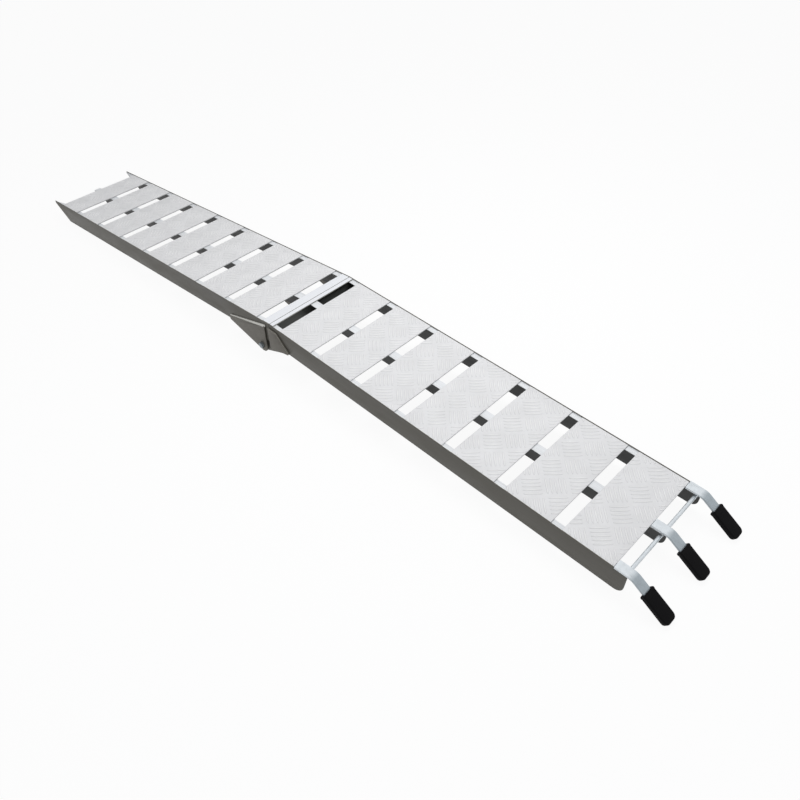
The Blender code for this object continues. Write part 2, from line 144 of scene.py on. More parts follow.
# Hinge
PIVOT = (0.046, -0.080)  # in the lower section's frame
PIVOT_EYE_RADIUS = 0.019
LOWER_PLATE_TOP = (0.0155, -0.011)
LOWER_PLATE_CORNER = (0.178, -RAIL_DEPTH)
LOWER_PLATE_LAP = (0.178, 0.013 - RAIL_DEPTH)
HEEL_CORNERS = ((-0.002, -0.011), (-0.002, -0.074), (0.070, -0.057), (0.070, -0.049), (0.030, -0.011))
TONGUE_ROOT = (0.012, -0.022)
TONGUE_CORNER = (0.080, -0.057)
TONGUE_LAP = (0.080, -0.022)
PLATE_EASE = 0.002  # radius at the corners of the hinge plates and tongues
HEEL_EASE = 0.0015
PLATE_EDGE = 0.0006
HEEL_EDGE_LIGHT_TONE = 0.5  # painted light on the heel plates' edges, which lie in the rail wall's shadow
BOLT_RADIUS = 0.005
HEX_RADIUS = 0.0085
HEX_FACE = 0.93  # the flat circle on a head or nut, as a share of the hexagon's inner circle
HEX_SLOPE = math.tan(math.radians(30.0))  # of the corners outside that circle
HEAD_RING = 0.6  # of the flat circle, where a head's closing face starts
HEAD_HEIGHT = 0.0065
SPACER_RADIUS = 0.011
SPACER_EDGE = 0.0004
THREAD_LENGTH = 0.016
THREAD_PITCH = 0.0015
THREAD_DEPTH = 0.0005
THREAD_RUNOUT = 0.001
THREAD_POINT = 0.8  # of the shank's radius, at its very end
HEX_TONE = -1.0  # the heads and nuts drawn in the zinc's darkest grey

# Welds
BEAD_STEP = 0.0007
BEAD_SIDES = 10
BEAD_RIPPLE = 0.0024
RIPPLE_DEPTH = 0.13
RIPPLE_BEND = 1.4
BEAD_BLUNT = 0.004  # least height of the taper before its root is taken
OFF_AXIS = (0.31, 0.52, 0.79)  # a direction in which no bead runs
STITCH_LENGTH = 0.04
STITCH_MARGIN = 0.003  # from a tread's edge, where the tread is short
STITCH_DROP = 0.0042
STITCH_OFFSET = 0.0004
STITCH_RADIUS = 0.0016
PLATE_BEAD = (0.0022, 0.0040)  # radius at the plate's long end and at its top corner
PLATE_BEAD_OUT = 0.0010
PLATE_BEAD_RISE = 0.0006
TONGUE_BEAD = 0.0020
TONGUE_BEAD_IN = 0.0012

# Surfaces
SHARP_ANGLE = math.radians(35.0)  # faces that meet at more than this keep a crease
EASE_LIMIT = 0.45  # most of a side that the curve at its corner takes
ROUND = 48  # points round a head, a nut or a spun piece
NOISE_SPAN = (0.3, 0.7)  # noise mostly lies between these
CLOUD_SPAN = (0.35, 0.65)  # from full shade to none

# Light and camera
FLOOR_REACH = 14.0
FLOOR_GLOW = 0.94
FILL = 0.42
KEY = 16.0  # watts
KEY_SIZE = 1.1  # across the disk
KEY_AT = (0.40, 0.35, 1.60)
KEY_TOWARDS = (0.30, 0.0, 0.0)
CAMERA_AT = (1.3371, -0.9208, 1.2260)
CAMERA_TURN = (46.873, 2.895, 44.485)  # degrees about x, y and z
CAMERA_LENS = 33.606  # mm
SENSOR_WIDTH = 36.0  # mm


class Shell(NamedTuple):
    """A closed surface: its points, its four-sided faces, its flat end faces and the tone at each point.

    The tone is 1 where a face is painted bright, 0 where it is dull and -1 where it is painted dark. Mostly
    this is painted light: the bright tone is painted highlight or painted light, the dark one painted shade
    on sheltered faces.
    """

    points: np.ndarray
    quads: np.ndarray
    ends: list
    tone: np.ndarray


def node_points(node):
    """The points of a solid's mesh, one row each."""
    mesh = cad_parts[node].data
    found = np.empty(3 * len(mesh.vertices))
    mesh.vertices.foreach_get("co", found)
    return found.reshape(-1, 3)


class Section:
    """One half of the ramp: its body and its frame, found from its treads and its cross-beam."""

    def __init__(self, body, near, far, beam):
        near_middle, far_middle = (sum(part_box(node), Vector()) / 2 for node in (near, far))
        along = np.array((far_middle - near_middle).normalized())
        up = np.array((-along[2], 0.0, along[0])) * np.sign(along[0])
        self.body = body
        self.axes = np.stack((along, (0.0, 1.0, 0.0), up))
        start = (node_points(beam) @ along).min() - SEAM_GAP / 2
        self.seam = np.array((start, 0.0, (node_points(near) @ up).max()))

    def reach(self, node):
        """The lowest and highest corner of a node in this frame."""
        spots = node_points(node) @ self.axes.T - self.seam
        return spots.min(axis=0), spots.max(axis=0)

    def world(self, spots):
        """Points of this frame in the whole ramp's frame."""
        return (spots + self.seam) @ self.axes


LOWER = Section("lower_section", "lower_tread_8", "lower_tread_2", "lower_cross_beam")
UPPER = Section("upper_section", "upper_tread_1", "upper_tread_7", "upper_cross_beam")
UPPER_END = UPPER.reach("upper_side_rail_right")[1][0]
STRAP_UNDER = FLANGE_TOP + CLEARANCE
BEND_CENTRE = (UPPER_END + CLEARANCE, STRAP_UNDER - STRAP_BEND_RADIUS)


def treads(word):
    """The names of one section's treads, in order."""
    return sorted(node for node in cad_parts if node.startswith(f"{word}_tread"))


def make(name, section, shells, finish, slot, *nodes):
    """Joins closed shells into one piece that rides on its section's body and stands for the nodes."""
    starts = np.cumsum([0] + [len(shell.points) for shell in shells])
    spots = np.concatenate([shell.points for shell in shells])
    faces = []
    for start, shell in zip(starts, shells):
        faces += (shell.quads + start).tolist()
        faces += [(end + start).tolist() for end in shell.ends]
    mesh = bpy.data.meshes.new(name)
    mesh.from_pydata(section.world(spots).tolist(), [], faces)
    shape = bmesh.new()
    shape.from_mesh(mesh)
    bmesh.ops.recalc_face_normals(shape, faces=shape.faces)
    shape.to_mesh(mesh)
    shape.free()
    mesh.attributes.new("tone", "FLOAT", "POINT").data.foreach_set(
        "value", np.concatenate([shell.tone for shell in shells]))
    mesh.attributes.new("flat", "FLOAT_VECTOR", "POINT").data.foreach_set("vector", spots.ravel())
    mesh.shade_smooth()
    mesh.set_sharp_from_angle(angle=SHARP_ANGLE)
    mesh.materials.append(finish)
    piece = bpy.data.objects.new(name, mesh)
    bpy.context.scene.collection.objects.link(piece)
    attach(piece, section.body)
    if nodes:
        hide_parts(*nodes)


def loft(rings, tone=0.0):
    """Skins closed rings, given one after another, and closes the first and the last one flat."""
    count, around = rings.shape[:2]
    index = np.arange(count * around).reshape(count, around)
    ahead = np.roll(index, -1, axis=1)
    quads = np.stack((index[:-1], ahead[:-1], ahead[1:], index[1:]), axis=-1).reshape(-1, 4)
    return Shell(rings.reshape(-1, 3), quads, [index[0], index[-1]],
                 np.broadcast_to(tone, (count, around)).ravel())


def eased(outline, radius, steps=3):
    """Rounds the corners of outlines (..., points, 2).

    Each corner becomes the curve (1-u)^2 A + 2u(1-u) P + u^2 B, with A and B on its two sides at the radius,
    or at a share of a side that is too short for it.
    """
    before = np.roll(outline, 1, axis=-2) - outline
    after = np.roll(outline, -1, axis=-2) - outline
    sides = []
    for way in (before, after):
        length = np.linalg.norm(way, axis=-1, keepdims=True)
        sides.append(outline + way * np.minimum(radius / length, EASE_LIMIT))
    u = np.linspace(0, 1, steps + 1)[:, None]
    start, end = (side[..., None, :] for side in sides)
    curve = (1 - u) ** 2 * start + 2 * u * (1 - u) * outline[..., None, :] + u ** 2 * end
    return curve.reshape(*outline.shape[:-2], -1, 2)


def arc(centre, radius, start, end, steps):
    """Points centre + radius (cos a, sin a), with a going evenly from start to end."""
    turn = np.linspace(start, end, steps + 1)
    return np.stack((centre[0] + radius * np.cos(turn), centre[1] + radius * np.sin(turn)), axis=-1)


def slab(outline, low, high, edge, axes=(0, 2, 1), tone=0.0, steps=3):
    """A flat outline given thickness from low to high, its rims rounded.

    A rim ring stands at edge (1 - cos a) from its face and is moved in by edge (1 - sin a) along the corners'
    bisectors. axes are the section's axes that take the outline's two and the thickness.
    """
    after = np.roll(outline, -1, axis=0)
    side = after - outline
    side /= np.linalg.norm(side, axis=1, keepdims=True)
    if np.sum(outline[:, 0] * after[:, 1] - outline[:, 1] * after[:, 0]) < 0:
        side = -side
    out = np.stack((side[:, 1], -side[:, 0]), axis=1)
    behind = np.roll(out, 1, axis=0)
    bisector = (out + behind) / (1 + np.sum(out * behind, axis=1, keepdims=True))
    turn = np.linspace(0, math.pi / 2, steps + 1)
    inset = edge * (1 - np.sin(turn))
    rise = edge * (1 - np.cos(turn))
    inset = np.concatenate((inset, inset[::-1]))
    level = np.concatenate((low + rise, (high - rise)[::-1]))
    rings = np.empty((len(level), len(outline), 3))
    for i in (0, 1):
        rings[..., axes[i]] = outline[:, i] - inset[:, None] * bisector[:, i]
    rings[..., axes[2]] = level[:, None]
    return loft(rings, tone)


def rim(flat, edge, steps=3):
    """The tones of a slab's rings: one for its upper flat, another for its rims and the rest."""
    return np.array([edge] * (2 * steps + 1) + [flat], float)[:, None]


def rectangle(low_x, high_x, low_y, high_y):
    return np.array(((low_x, low_y), (high_x, low_y), (high_x, high_y), (low_x, high_y)))


def spun(radii, levels, centre, around=ROUND, tone=1.0):
    """Rings about an axis across the ramp: radii and levels are (rings,) or (rings, around)."""
    turn = np.linspace(0, 2 * math.pi, around, endpoint=False)
    radii, levels = (np.broadcast_to(np.asarray(a, float).reshape(len(a), -1), (len(a), around))
                     for a in (radii, levels))
    rings = np.stack((centre[0] + radii * np.cos(turn), levels, centre[1] + radii * np.sin(turn)), axis=-1)
    return loft(rings, tone)


def bead(path, radius):
    """A weld bead: a circle carried along a path, its radius rippled along the length s.

    The radius is multiplied by 1 + depth sin(2 pi s / ripple + bend cos a). The cosine of the angle a round
    the bead bends each ripple into a crescent, and the ends taper as the fourth root of the distance to them.
    radius is one value, or one for the start and one for the end.
    """
    path = np.asarray(path, float)
    step = np.linalg.norm(np.diff(path, axis=0), axis=1)
    run = np.concatenate(([0.0], np.cumsum(step)))
    s = np.linspace(0, run[-1], int(run[-1] / BEAD_STEP))
    line = np.stack([np.interp(s, run, path[:, i]) for i in range(3)], axis=1)
    radius = np.interp(s, (0, run[-1]), np.broadcast_to(radius, 2))
    way = np.gradient(line, s, axis=0)
    way /= np.linalg.norm(way, axis=1, keepdims=True)
    across = np.cross(way, OFF_AXIS)
    across /= np.linalg.norm(across, axis=1, keepdims=True)
    up = np.cross(way, across)
    turn = np.linspace(0, 2 * math.pi, BEAD_SIDES, endpoint=False)
    ripple = 1 + RIPPLE_DEPTH * np.sin(2 * math.pi * s[:, None] / BEAD_RIPPLE + RIPPLE_BEND * np.cos(turn))
    end = np.minimum(s, run[-1] - s) / (2 * radius)
    taper = np.clip(end, BEAD_BLUNT, 1) ** 0.25
    reach = ((radius * taper)[:, None] * ripple)[..., None]
    around = np.cos(turn)[:, None] * across[:, None] + np.sin(turn)[:, None] * up[:, None]
    return loft(line[:, None] + reach * around, 1.0)


# Finishes


def colour(code):
    """A hex colour, as a screen shows it, turned to linear light."""
    value = np.array([int(code[i:i + 2], 16) for i in (1, 3, 5)]) / 255
    linear = np.where(value <= 0.04045, value / 12.92, ((value + 0.055) / 1.055) ** 2.4)
    return (*linear.tolist(), 1.0)


def add(tree, kind, inputs=None, stops=(), **settings):
    """Adds a node and sets its properties, its inputs and its colour stops.

    An input gets a value, or a link where it is given another node's output. Stops go up in position.
    """
    node = tree.nodes.new("ShaderNode" + kind)
    for name, value in settings.items():
        setattr(node, name, value)
    for key, value in (inputs or {}).items():
        if isinstance(value, bpy.types.NodeSocket):
            tree.links.new(value, node.inputs[key])
        else:
            node.inputs[key].default_value = value
    for i, (position, shade) in enumerate(stops):
        elements = node.color_ramp.elements
        stop = elements[i] if i < 2 else elements.new(position)
        stop.position = position
        stop.color = shade
    return node


def new_finish(name, **sockets):
    """A material whose shader has its plain values set on its own sockets."""
    made = bpy.data.materials.new(name)
    made.use_nodes = True
    shader = made.node_tree.nodes["Principled BSDF"]
    for key, value in sockets.items():
        shader.inputs[key.replace("_", " ")].default_value = value
    return made, made.node_tree, shader.inputs


def speckle(tree, stretch, detail=3.0):
    """Noise over the section's own coordinates, its grain given as a real size in metres along each axis."""
    flat = add(tree, "Attribute", attribute_name="flat").outputs["Vector"]
    place = add(tree, "VectorMath", {0: flat, 1: [1 / size for size in stretch]}, operation="MULTIPLY")
    return add(tree, "TexNoise", {"Vector": place.outputs[0], "Scale": 1.0, "Detail": detail,
                                  "Roughness": 0.55}).outputs["Fac"]


def toned(tree, pattern, depth, dark, dull, clear):
    """The colour for the piece's tone from -1 through 0 to 1, darkened by a pattern to 1 - depth at most."""
    tone = add(tree, "Attribute", attribute_name="tone").outputs["Fac"]
    place = add(tree, "MapRange", {"Value": tone, "From Min": -1.0}).outputs["Result"]
    body = add(tree, "ValToRGB", {"Fac": place}, ((0.0, dark), (0.5, dull), (1.0, clear))).outputs["Color"]
    shades = zip(CLOUD_SPAN, ((1 - depth,) * 3 + (1.0,), (1.0,) * 4))
    cloud = add(tree, "ValToRGB", {"Fac": pattern}, shades).outputs["Color"]
    return add(tree, "Mix", {"Factor": 1.0, "A": body, "B": cloud}, data_type="RGBA",
               blend_type="MULTIPLY").outputs["Result"]


def roughen(tree, shader, pattern, low, high):
    """Lets the roughness follow a pattern between two levels."""
    least, most = NOISE_SPAN
    level = add(tree, "MapRange", {"Value": pattern, "From Min": least, "From Max": most, "To Min": low,
                                   "To Max": high})
    tree.links.new(level.outputs["Result"], shader["Roughness"])


def emboss(tree, shader, pattern, strength, distance):
    """Lets the surface's light and shade follow a pattern, as if it stood up by the distance."""
    bump = add(tree, "Bump", {"Height": pattern, "Strength": strength, "Distance": distance})
    tree.links.new(bump.outputs["Normal"], shader["Normal"])


def plate_finish():
    """Five-bar tread plate, bright rolled aluminium alloy: silver white, faintly clouded where the rolls and
    handling dulled it. The raised bars' tops are painted brighter, as painted highlight, and the bars' feet
    and the plate's sheared rims painted darker, as painted shade.

    The grain that the rolls leave is finer than a millimetre. It is drawn 1.2 by 6 mm, to show close up.
    """
    made, tree, shader = new_finish("bright_rolled_tread_plate", Metallic=0.4)
    cloud = speckle(tree, (0.055, 0.055, 0.055), 4.0)
    # Dark stop: painted shade on rims and bar feet; clear stop: painted highlight on bar tops
    shade = toned(tree, cloud, 0.06, colour("#A0A2A4"), colour("#E9E9EA"), colour("#F4F4F3"))
    tree.links.new(shade, shader["Base Color"])
    roughen(tree, shader, speckle(tree, (0.004, 0.018, 0.01)), 0.38, 0.52)
    emboss(tree, shader, speckle(tree, (0.0012, 0.006, 0.003), 2.0), 0.12, 0.0004)
    return made


def rail_finish():
    """Extruded aluminium, mill finish: dull grey oxide on the walls, painted darker still as painted shade,
    with faint lengthwise die lines. The flanges' tops are painted bright as painted highlight, and the inner
    faces and flanges' undersides painted darkest, as painted shade.

    Real die lines are some tenths of a millimetre apart. They are drawn 1.6 mm apart, to show close up.
    """
    made, tree, shader = new_finish("mill_finish_extrusion", Metallic=0.2)
    lines = speckle(tree, (0.6, 0.0016, 0.0016), 2.0)
    stain = speckle(tree, (0.12, 0.03, 0.03), 4.0)
    both = add(tree, "Math", {0: lines, 1: stain}, operation="ADD").outputs[0]
    half = add(tree, "Math", {0: both, 1: 0.5}, operation="MULTIPLY").outputs[0]
    # Dark stop: painted shade on inner faces and undersides; dull stop: the walls' oxide darkened as painted
    # shade; clear stop: painted highlight on the flanges' tops
    shade = toned(tree, half, 0.22, colour("#212322"), colour("#5D5A52"), colour("#F6F8FA"))
    tree.links.new(shade, shader["Base Color"])
    roughen(tree, shader, stain, 0.42, 0.58)
    emboss(tree, shader, lines, 0.15, 0.0003)
    return made


def beam_finish():
    """Smooth drawn aluminium flat, mill finish: bluish white and even on top, with fine lines across the ramp
    where it was drawn. Its walls below are painted dark and the strips' rims darker than their tops, as
    painted shade. The lines are drawn 1.8 mm apart, coarser than real ones."""
    made, tree, shader = new_finish("smooth_drawn_flat", Metallic=0.5)
    lines = speckle(tree, (0.0018, 0.4, 0.0018), 2.0)
    # Dark stop: painted shade on the walls; the rims, near the dull stop: painted shade
    shade = toned(tree, lines, 0.10, colour("#444644"), colour("#8C8B84"), colour("#F2F4F8"))
    tree.links.new(shade, shader["Base Color"])
    roughen(tree, shader, lines, 0.34, 0.46)
    return made


def hinge_finish():
    """Cut aluminium plate, ground and left bare: warm dull grey with scuffs and darker handling stains. The
    heel plates' edges are painted bright, as painted light where they lie in the rail wall's shadow."""
    made, tree, shader = new_finish("ground_bare_plate", Metallic=0.4)
    stain = speckle(tree, (0.02, 0.02, 0.02), 5.0)
    # Clear stop: painted light on the heel plates' edges
    shade = toned(tree, stain, 0.15, colour("#3A3833"), colour("#68645C"), colour("#BDBAB1"))
    tree.links.new(shade, shader["Base Color"])
    scuff = speckle(tree, (0.012, 0.002, 0.0012))
    roughen(tree, shader, scuff, 0.38, 0.56)
    emboss(tree, shader, scuff, 0.2, 0.0003)
    return made


def zinc_finish():
    """Bright zinc plated steel: a cool blue-white coat over rolled bar, faintly mottled by its passivation,
    and painted greyer past a bend, as painted shade. The bar's rolling lines are drawn 1.2 mm apart, coarser
    than real ones, to show close up."""
    made, tree, shader = new_finish("bright_zinc_plate", Metallic=0.4)
    mottle = speckle(tree, (0.009, 0.009, 0.009), 4.0)
    # On the straps, the dull stop past the bend is painted shade
    shade = toned(tree, mottle, 0.12, colour("#8C9499"), colour("#B0BAC0"), colour("#E8EEF2"))
    tree.links.new(shade, shader["Base Color"])
    roughen(tree, shader, mottle, 0.26, 0.40)
    emboss(tree, shader, speckle(tree, (0.02, 0.0012, 0.0012), 2.0), 0.08, 0.0002)
    return made


def rubber_finish():
    """Black rubber, compression moulded: deep neutral black, matt, with the fine spark texture of its mould
    and a greyer bloom in patches. The texture is drawn 0.9 mm wide, coarser than a real one, to show close
    up."""
    made, tree, shader = new_finish("moulded_black_rubber", IOR=1.52, Specular_IOR_Level=0.08)
    bloom = speckle(tree, (0.02, 0.02, 0.02), 4.0)
    shade = add(tree, "ValToRGB", {"Fac": bloom}, ((0.35, colour("#070708")), (0.7, colour("#0E0D0F"))))
    tree.links.new(shade.outputs["Color"], shader["Base Color"])
    roughen(tree, shader, bloom, 0.58, 0.72)
    emboss(tree, shader, speckle(tree, (0.0009, 0.0009, 0.0009), 2.0), 0.25, 0.0002)
    return made


def weld_finish():
    """Aluminium weld metal, as laid: bright silver crescents with grey soot in the hollows."""
    made, tree, shader = new_finish("laid_weld_bead", Metallic=0.6)
    soot = speckle(tree, (0.003, 0.003, 0.003))
    shade = add(tree, "ValToRGB", {"Fac": soot}, ((0.3, colour("#B9B8B3")), (0.7, colour("#DCDBD6"))))
    tree.links.new(shade.outputs["Color"], shader["Base Color"])
    roughen(tree, shader, soot, 0.3, 0.5)
    return made


PLATE = plate_finish()
EXTRUSION = rail_finish()
FLAT = beam_finish()
HINGE = hinge_finish()
ZINC = zinc_finish()
RUBBER = rubber_finish()
WELD = weld_finish()


# Deck


def raised_bars(low, high, phase):
    """Groups of five parallel bars on a chequerboard turned by 45 degrees, each group across its neighbours.

    Bar centres are the middles of the squares plus k times the pitch for k from -2 to 2, and each bar is cut
    to the part of its mid line that lies on the plate. Along u and across v, each from -1 to 1, its half
    width is w (1 - narrowing u^4)^0.5 and its height h (1 - v^2) (1 - lowering u^4)^0.5.
    """
    count = int(PATTERN_REACH / BAR_CELL)
    cell = np.arange(-count, count + 1)
    i, j, k = (a.ravel() for a in np.meshgrid(cell, cell, np.arange(-2, 3), indexing="ij"))
    turned = (i + j) % 2 == 0
    p = (i + phase[0]) * BAR_CELL + np.where(turned, 0, k * BAR_PITCH)
    q = (j + phase[1]) * BAR_CELL + np.where(turned, k * BAR_PITCH, 0)
    middle = (low + high)[:2] / 2 + np.stack((p - q, p + q), axis=1) / math.sqrt(2)
    way = np.where(turned[:, None], (1.0, 1.0), (-1.0, 1.0)) / math.sqrt(2)
    first = (low[:2] + BAR_MARGIN - middle) / way
    last = (high[:2] - BAR_MARGIN - middle) / way
    start = np.maximum(np.minimum(first, last).max(axis=1), -BAR_LENGTH / 2)
    end = np.minimum(np.maximum(first, last).min(axis=1), BAR_LENGTH / 2)
    kept = end - start > SHORTEST_BAR
    middle, way, start, end = middle[kept], way[kept], start[kept], end[kept]
    u = np.array((-1, -0.93, -0.75, 0, 0.75, 0.93, 1))
    v = np.array((-1, -0.55, 0, 0.55, 1))
    wide = BAR_WIDTH / 2 * np.sqrt(1 - BAR_NARROWING * u ** 4)
    arch = BAR_HEIGHT * (1 - v ** 2) * np.sqrt(1 - BAR_LOWERING * u[:, None] ** 4)
    top = np.stack(np.broadcast_arrays(u[:, None], v * wide[:, None], PLATE_SURFACE + arch), axis=-1)
    sunk = top[:, ::-4] * (1, 1, 0) + (0, 0, PLATE_SURFACE - BAR_ROOT)
    ring = np.concatenate((top, sunk), axis=1)
    half = ((end - start) / 2)[:, None, None]
    along = (start + end)[:, None, None] / 2 + half * ring[..., 0]
    spots = np.empty((len(way), *ring.shape))
    for axis, sign in ((0, -1), (1, 1)):
        spots[..., axis] = (middle[:, axis, None, None] + along * way[:, axis, None, None]
                            + sign * ring[..., 1] * way[:, 1 - axis, None, None])
    spots[..., 2] = ring[..., 2]
    # Painted light: bar tops painted bright as painted highlight, their feet painted dark as painted shade
    tone = np.interp(ring[..., 2] - PLATE_SURFACE, (0, 0.5 * BAR_HEIGHT, BAR_HEIGHT), (FOOT_SHADE_TONE, 0, 1))
    tone = np.broadcast_to(tone, spots.shape[:-1])
    one = loft(spots[0])
    offset = len(one.points) * np.arange(len(spots))
    quads = (one.quads + offset[:, None, None]).reshape(-1, 4)
    ends = [end + start for start in offset for end in one.ends]
    return Shell(spots.reshape(-1, 3), quads, ends, tone.ravel())


def tread(section, node, number):
    """A tread: a sheared plate with softened rims, and the bars that are rolled up on it."""
    low, high = section.reach(node)
    # The rims take a darker tone, as painted shade
    base = slab(rectangle(low[0], high[0], low[1], high[1]), low[2], PLATE_SURFACE, SHEARED_EDGE, (0, 1, 2),
                rim(0, SHEARED_SHADE_TONE))
    phase = [step * number % 1 for step in PHASE_STEP]
    make(node.replace("tread", "tread_plate"), section, [base, raised_bars(low, high, phase)], PLATE,
         "chequer_plate", node)


def cross_beam(section, node):
    """A smooth strip across the deck at the seam, over upright walls that are notched round the flanges."""
    low, high = section.reach(node)
    strip = rectangle(low[0], high[0], low[1], high[1])
    shells = [slab(strip, -TREAD_THICKNESS, high[2], STRIP_EDGE, (0, 1, 2), rim(1, STRIP_EDGE_SHADE_TONE))]
    start = SEAM_GAP / 2 + math.tan(ARCH_ANGLE / 2) * BEAM_DEPTH + BEAM_SETBACK
    notch = FLANGE_BOTTOM - CLEARANCE
    top = -TREAD_THICKNESS / 2
    side = HALF_WIDTH - RAIL_WALL - CLEARANCE
    flange = HALF_WIDTH - SIDE_FLANGE - CLEARANCE
    edge = CENTRE_FLANGE / 2 + CLEARANCE
    for near, near_flange, far_flange, far in ((-side, -flange, -edge, edge - 2 * CLEARANCE - CENTRE_WEB),
                                               (edge, edge, flange, side)):
        outline = ((near, -BEAM_DEPTH), (far, -BEAM_DEPTH), (far, notch), (far_flange, notch),
                   (far_flange, top), (near_flange, top), (near_flange, notch - CLEARANCE),
                   (near, notch - CLEARANCE))
        # The walls take the darkest tone, as painted shade
        shells.append(slab(np.array(outline), start, start + RAIL_WALL, BEAM_EDGE, (1, 2, 0), -1.0))
    make(node + "_flat", section, shells, FLAT, "rail_aluminium", node)


def deck():
    """Both sections' treads and cross-beams, the treads numbered on from the lower section to the upper."""
    number = 0
    for section, word in ((LOWER, "lower"), (UPPER, "upper")):
        for node in treads(word):
            number += 1
            tread(section, node, number)
        cross_beam(section, f"{word}_cross_beam")


# Rails


def carried(profile, tone, x):
    """Carries profiles (stations, points, 2) in y and z along x, the first one lying on the seam's slant."""
    rounded = eased(profile, RAIL_EASE)
    rings = np.empty((*rounded.shape[:2], 3))
    rings[..., 0] = x[:, None]
    rings[..., 1:] = rounded
    rings[0, :, 0] = SEAM_GAP / 2 - rounded[0, :, 1] * SEAM_SLANT
    return loft(rings, np.repeat(tone, rounded.shape[1] // len(tone)))


def side_profile(inward, face, low, flange, top):
    """A side rail across the ramp: wall, top flange and lip, for each station's bottom, flange and lip."""
    wall = np.full_like(low, RAIL_WALL)
    nothing = np.zeros_like(low)
    under = np.full_like(low, FLANGE_BOTTOM)
    over = np.full_like(low, FLANGE_TOP)
    corners = ((nothing, low), (wall, low), (wall, under), (flange, under), (flange, over), (wall, over),
               (wall, top), (nothing, top), (nothing, top - LIP_BAND))
    return np.stack([np.stack((face + inward * depth, z), axis=-1) for depth, z in corners], axis=1)


# At each corner of side_profile: the flange's top is painted bright, as painted highlight; its underside and
# the wall's inner face are painted dark, as painted shade; the outer wall and the lip's top keep the dull
# tone, darkened as painted shade
SIDE_TONE = np.array((0, -1, -1, -1, 1, 1, 0, 0, 0), float)


def centre_profile(low):
    """The centre rail across the ramp: an angle, its web along the flange's left edge."""
    edge = np.full_like(low, CENTRE_FLANGE / 2)
    face = edge - CENTRE_WEB
    under = np.full_like(low, FLANGE_BOTTOM)
    over = np.full_like(low, FLANGE_TOP)
    corners = ((face, low), (edge, low), (edge, over - CENTRE_BAND), (edge, over), (-edge, over),
               (-edge, under), (face, under))
    return np.stack([np.stack(corner, axis=-1) for corner in corners], axis=1)


# At each corner of centre_profile: only the flange's top is painted bright, as painted highlight; the web and
# the flange's underside are painted dark, as painted shade
CENTRE_TONE = np.array((-1, -1, -1, 1, 1, -1, -1), float)


def lower_stations(node):
    """Where a lower rail's rings stand, its bottom there, and its share of the way from deck's end to tip."""
    tip = LOWER.reach("lower_side_rail_right")[1][0]
    foot = tip - (RAIL_DEPTH - TIP_NOSE) / math.tan(TIP_SLOPE)
    deck_end = tip - TIP_OVERHANG
    end = LOWER.reach(node)[1][0]
    even = np.arange(FIRST_STATION, deck_end, STATION_STEP)
    x = np.unique(np.concatenate((even, np.linspace(deck_end, end, TIP_RINGS), [foot, end])))
    x = np.concatenate(([SEAM_GAP / 2], x))
    return x, np.interp(x, (foot, tip), (-RAIL_DEPTH, -TIP_NOSE)), np.interp(x, (deck_end, tip), (0.0, 1.0))


def upper_stations():
    """Where an upper rail's rings stand, its bottom round the end's corner, and the top of its lip."""
    step = UPPER.reach("upper_tread_7")[1][0] + LIP_OVERRUN
    turn = np.linspace(0, math.pi / 2, CORNER_RINGS)
    corner = UPPER_END - RAIL_CORNER + RAIL_CORNER * np.sin(turn)
    even = np.arange(FIRST_STATION, step - STATION_MARGIN, STATION_STEP)
    x = np.concatenate(([SEAM_GAP / 2], even, [step, step + LIP_CUT_LENGTH], corner))
    straight = np.full(len(x) - CORNER_RINGS, -RAIL_DEPTH)
    low = np.concatenate((straight, -RAIL_DEPTH + RAIL_CORNER * (1 - np.cos(turn))))
    return x, low, np.where(x > step, LIP_CUT, 0.0)


def rails():
    """The side rails and centre rails of both sections, each a profile carried along its stations."""
    upper_x, upper_low, lip = upper_stations()
    full = np.full_like(upper_x, SIDE_FLANGE)
    for word, inward in (("right", 1), ("left", -1)):
        face = -inward * HALF_WIDTH
        x, low, past = lower_stations(f"lower_side_rail_{word}")
        flange = SIDE_FLANGE - (SIDE_FLANGE - RAIL_WALL - TIP_LAND) * past
        shell = carried(side_profile(inward, face, low, flange, np.zeros_like(x)), SIDE_TONE, x)
        make(f"lower_side_extrusion_{word}", LOWER, [shell], EXTRUSION, "rail_aluminium",
             f"lower_side_rail_{word}")
        shell = carried(side_profile(inward, face, upper_low, full, lip), SIDE_TONE, upper_x)
        make(f"upper_side_extrusion_{word}", UPPER, [shell], EXTRUSION, "rail_aluminium",
             f"upper_side_rail_{word}")
    x, low, _ = lower_stations("lower_centre_rail")
    for section, word, place, bottom in ((LOWER, "lower", x, low), (UPPER, "upper", upper_x, upper_low)):
        shell = carried(centre_profile(bottom), CENTRE_TONE, place)
        make(f"{word}_centre_angle", section, [shell], EXTRUSION, "rail_aluminium", f"{word}_centre_rail")


# Hinge


def touch(point, centre, radius, side):
    """The angle at which a line from a point touches a circle: its own angle plus side times acos(r / d)."""
    away = np.subtract(point, centre)
    return math.atan2(away[1], away[0]) + side * math.acos(radius / math.hypot(*away))


def eye_outline(pivot, high, low, side, *rest):
    """A plate's outline from two corners round the eye on the pivot, then through the rest of its points."""
    start = touch(high, pivot, PIVOT_EYE_RADIUS, side)
    end = touch(low, pivot, PIVOT_EYE_RADIUS, -side) + side * 2 * math.pi
    if abs(end - start) > 2 * math.pi:
        end -= side * 2 * math.pi
    eye = arc(pivot, PIVOT_EYE_RADIUS, start, end, steps=20)
    corners = eased(np.array((low, *rest, high)), PLATE_EASE)
    return np.concatenate((eye, corners))


def pivot_in_upper():
    """The pivot in the upper section's frame: its place in the lower one's, turned by the arch."""
    x, z = -PIVOT[0], PIVOT[1]
    sine, cosine = math.sin(ARCH_ANGLE), math.cos(ARCH_ANGLE)
    return x * cosine - z * sine, z * cosine + x * sine


